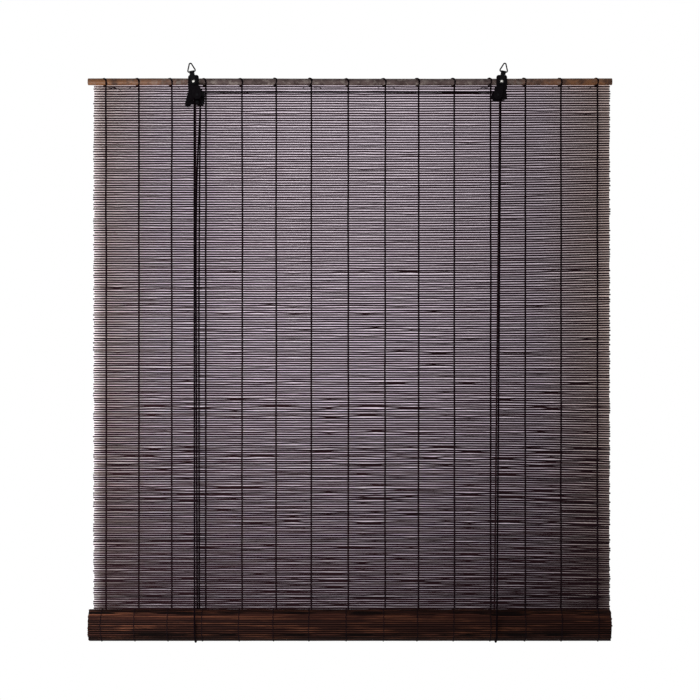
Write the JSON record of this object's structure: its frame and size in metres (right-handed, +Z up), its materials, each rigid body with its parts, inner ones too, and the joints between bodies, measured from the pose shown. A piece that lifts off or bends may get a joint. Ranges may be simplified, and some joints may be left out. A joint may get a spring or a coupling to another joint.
{
  "type": "bamboo roll-up blind",
  "caption": "Bamboo slat roll-up blind hung by wire rings, with its lower end wound in a roll that lift cords carry over a pulley and a cord lock.",
  "frame": {"origin": "midway between the two points where the wire rings rest on their hooks", "axes": "+X along the headrail, +Y towards the wall behind the blind, +Z up"},
  "size_m": [0.9, 0.0704, 0.9914],
  "materials": {
    "stained_pole": "stained and lightly worn, satin",
    "slat": "split bamboo, dark stained, satin",
    "thread": "twisted cotton thread, black",
    "cord": "braided cord, black",
    "black_plastic": "moulded, black",
    "dark_steel": "blackened steel",
    "nickel": "nickel plated"
  },
  "bodies": {
    "frame": {"headrail": "stained_pole", "hanging_mat": "slat", "warp_threads": "thread", "headrail_bindings": "thread", "lock_housing": "black_plastic", "lock_sheave_pin": "nickel", "guide_roller_pin": "nickel", "lock_cam_pin": "nickel", "pulley_housing": "black_plastic", "pulley_sheave_pin": "nickel", "rivet_left": "nickel", "rivet_right": "nickel", "screw_eye_left": "dark_steel", "screw_eye_right": "dark_steel", "cord_knots": "cord", "front_cord_left": "cord", "back_cord_left": "cord", "front_cord_right": "cord", "back_cord_right": "cord", "lock_cord_turn": "cord", "cross_cord": "cord", "pull_cord_a": "cord", "pull_cord_b": "cord"},
    "strap_left": {"strap_left": "dark_steel"},
    "ring_left": {"ring_left": "dark_steel"},
    "strap_right": {"strap_right": "dark_steel"},
    "ring_right": {"ring_right": "dark_steel"},
    "lock_sheave": {"lock_sheave": "dark_steel"},
    "guide_roller": {"guide_roller": "dark_steel"},
    "pulley_sheave": {"pulley_sheave": "dark_steel"},
    "lock_cam": {"lock_cam": "black_plastic"},
    "slings": {"sling_left": "cord", "sling_right": "cord"},
    "roll": {"mat_roll": "slat", "roll_threads": "thread", "bottom_batten": "stained_pole"}
  },
  "joints": [
    {"name": "roll_lift", "type": "slide", "parent": "frame", "child": "slings", "axis": [0, 0, 1], "range_m": [0, 0.83], "deforming": ["hanging_mat", "warp_threads", "front_cord_left", "front_cord_right", "back_cord_left", "back_cord_right", "pull_cord_a", "pull_cord_b"]},
    {"name": "roll_spin", "type": "hinge", "parent": "slings", "child": "roll", "pos_m": [0, -0.0183, -0.95754], "axis": [1, 0, 0], "range_deg": [-1760, 0]},
    {"name": "lock_sheave_turn", "type": "hinge", "parent": "frame", "child": "lock_sheave", "pos_m": [-0.2612, -0.0057, -0.05354], "axis": [0, 1, 0], "continuous": true},
    {"name": "guide_roller_turn", "type": "hinge", "parent": "frame", "child": "guide_roller", "pos_m": [-0.2529, -0.0016, -0.05164], "axis": [0, 1, 0], "continuous": true},
    {"name": "pulley_sheave_turn", "type": "hinge", "parent": "frame", "child": "pulley_sheave", "pos_m": [0.253, -0.0016, -0.05354], "axis": [0, 1, 0], "continuous": true},
    {"name": "lock_cam_release", "type": "hinge", "parent": "frame", "child": "lock_cam", "pos_m": [-0.2617, 0, -0.06604], "axis": [0, 1, 0], "range_deg": [0, 30]},
    {"name": "strap_left_swivel", "type": "hinge", "parent": "frame", "child": "strap_left", "pos_m": [-0.2682, 0, -0.02954], "axis": [0, 1, 0], "range_deg": [-20, 20]},
    {"name": "strap_right_swivel", "type": "hinge", "parent": "frame", "child": "strap_right", "pos_m": [0.26, 0, -0.02954], "axis": [0, 1, 0], "range_deg": [-20, 20]},
    {"name": "ring_left_swing", "type": "hinge", "parent": "strap_left", "child": "ring_left", "pos_m": [-0.27107, 0, -0.01329], "axis": [0.9848, 0, 0.1736], "range_deg": [-80, 80]},
    {"name": "ring_right_swing", "type": "hinge", "parent": "strap_right", "child": "ring_right", "pos_m": [0.26287, 0, -0.01329], "axis": [0.9848, 0, -0.1736], "range_deg": [-80, 80]}
  ],
  "couplings": [
    {"joint": "roll_spin", "follows": "roll_lift", "rad_per_m": -36.63},
    {"joint": "lock_sheave_turn", "follows": "roll_lift", "rad_per_m": 392.16},
    {"joint": "guide_roller_turn", "follows": "roll_lift", "rad_per_m": -625},
    {"joint": "pulley_sheave_turn", "follows": "roll_lift", "rad_per_m": -392.16}
  ]
}
